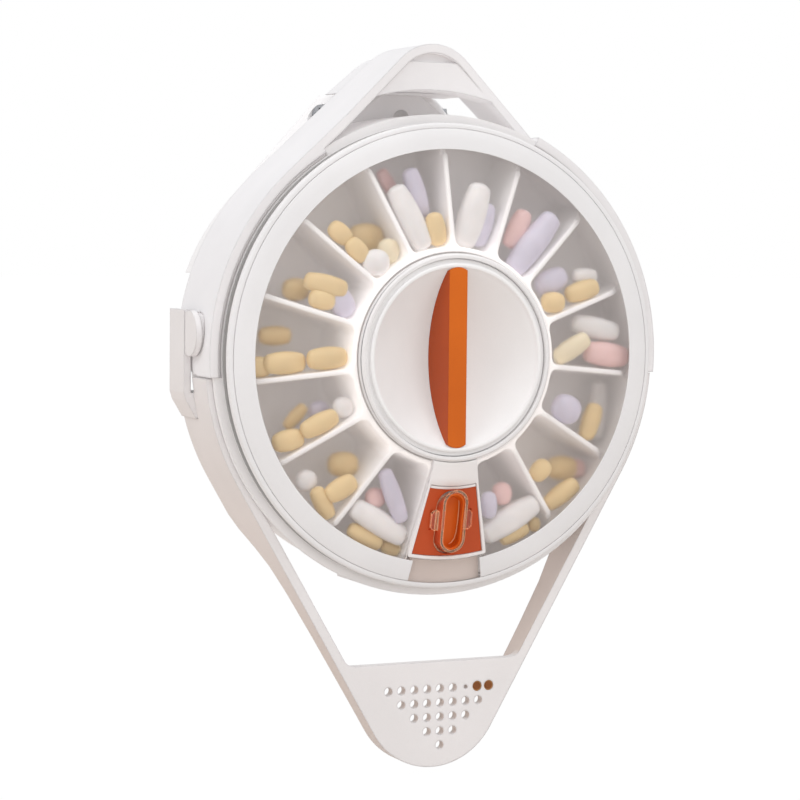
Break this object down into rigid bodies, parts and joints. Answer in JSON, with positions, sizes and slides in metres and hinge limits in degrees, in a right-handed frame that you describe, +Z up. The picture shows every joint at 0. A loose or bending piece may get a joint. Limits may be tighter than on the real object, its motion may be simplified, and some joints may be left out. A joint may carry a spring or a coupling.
{
  "type": "automatic pill dispenser",
  "caption": "Round drum-shaped pill dispenser with a cell carousel behind a frosted lid, turning knob, exit hatch, peaked carrying handle and perforated swing-back bail.",
  "frame": {"origin": "centre of the hanging hole where it opens on the rear face", "axes": "+Z up towards the handle's peak, +Y from the front towards the wall behind, +X to the viewer's right from the front"},
  "size_m": [0.1446, 0.0588, 0.2076],
  "materials": {
    "white_shell": "satin moulded",
    "white_gloss": "smooth satin moulded",
    "tray_white": "fine matt moulded",
    "clear_frost": "frosted, translucent",
    "clear_button": "clear",
    "orange": "satin moulded",
    "orange_dark": "satin moulded",
    "recess_pink": "matt",
    "copper": "oxidised",
    "bronze": "satin",
    "steel": "turned",
    "brass": "turned",
    "rubber": "matt",
    "seal_rubber": "matt",
    "board_green": "solder mask",
    "chip_black": "moulded",
    "battery_can": "satin"
  },
  "bodies": {
    "drum": {"drum_housing": "white_shell", "hub_post": "steel", "hub_bush": "brass", "carry_frame": "white_gloss", "frame_screws": "steel", "rear_housing": "white_shell", "housing_screws": "steel", "neck_screws": "steel", "rear_pads": "rubber", "batteries": "battery_can", "battery_contacts": "steel", "battery_springs": "steel", "gear_motor": "steel", "motor_screws": "steel", "circuit_board": "board_green", "board_chips": "chip_black", "board_screws": "steel", "sounder": "chip_black", "pivot_pins": "steel", "lid_seal": "seal_rubber"},
    "carousel": {"carousel_tray": "tray_white", "cell_walls": "tray_white", "carousel_hub": "tray_white", "ring_gear": "tray_white", "carousel_screws": "steel"},
    "pinion": {"motor_shaft": "steel", "drive_pinion": "brass"},
    "lid": {"clear_lid": "clear_frost", "trim_ring": "white_gloss", "exit_frame": "white_gloss", "exit_recess": "recess_pink", "wave_washer": "steel", "hatch_pin": "steel"},
    "knob": {"knob_dish": "white_gloss", "grip_fin": "orange", "knob_shaft": "tray_white"},
    "hatch": {"exit_hatch": "orange_dark", "button_leaf": "steel"},
    "button": {"exit_button": "clear_button", "button_core": "orange_dark"},
    "bail": {"bail_frame": "white_gloss", "contact_studs": "copper", "stud_rings": "bronze"},
    "door": {"battery_door": "white_shell"},
    "power": {"power_button": "orange"}
  },
  "joints": [
    {"name": "carousel_spin", "type": "hinge", "parent": "drum", "child": "carousel", "pos_m": [0, -0.03, -0.0683], "axis": [0, 1, 0], "continuous": true},
    {"name": "pinion_spin", "type": "hinge", "parent": "drum", "child": "pinion", "pos_m": [0.02639, -0.027, -0.02881], "axis": [0, 1, 0], "continuous": true},
    {"name": "lid_lift", "type": "slide", "parent": "drum", "child": "lid", "axis": [0, -1, 0], "range_m": [0, 0.03]},
    {"name": "knob_turn", "type": "hinge", "parent": "lid", "child": "knob", "pos_m": [0, -0.05, -0.0683], "axis": [0, 1, 0], "range_deg": [0, 90]},
    {"name": "hatch_swing", "type": "hinge", "parent": "lid", "child": "hatch", "pos_m": [0, -0.05435, -0.10657], "axis": [-1, 0, 0], "range_deg": [0, 30]},
    {"name": "exit_press", "type": "slide", "parent": "hatch", "child": "button", "axis": [0, 0.9824, 0.1867], "range_m": [0, 0.0006], "stiffness_N_per_m": 300},
    {"name": "bail_swing", "type": "hinge", "parent": "drum", "child": "bail", "pos_m": [0, -0.035, -0.0618], "axis": [1, 0, 0], "range_deg": [0, 90]},
    {"name": "door_lift", "type": "slide", "parent": "drum", "child": "door", "axis": [0, 1, 0], "range_m": [0, 0.02]},
    {"name": "power_press", "type": "slide", "parent": "drum", "child": "power", "axis": [0, -1, 0], "range_m": [0, 0.001], "stiffness_N_per_m": 400}
  ],
  "couplings": [
    {"joint": "pinion_spin", "follows": "carousel_spin", "ratio": -5.3333}
  ]
}
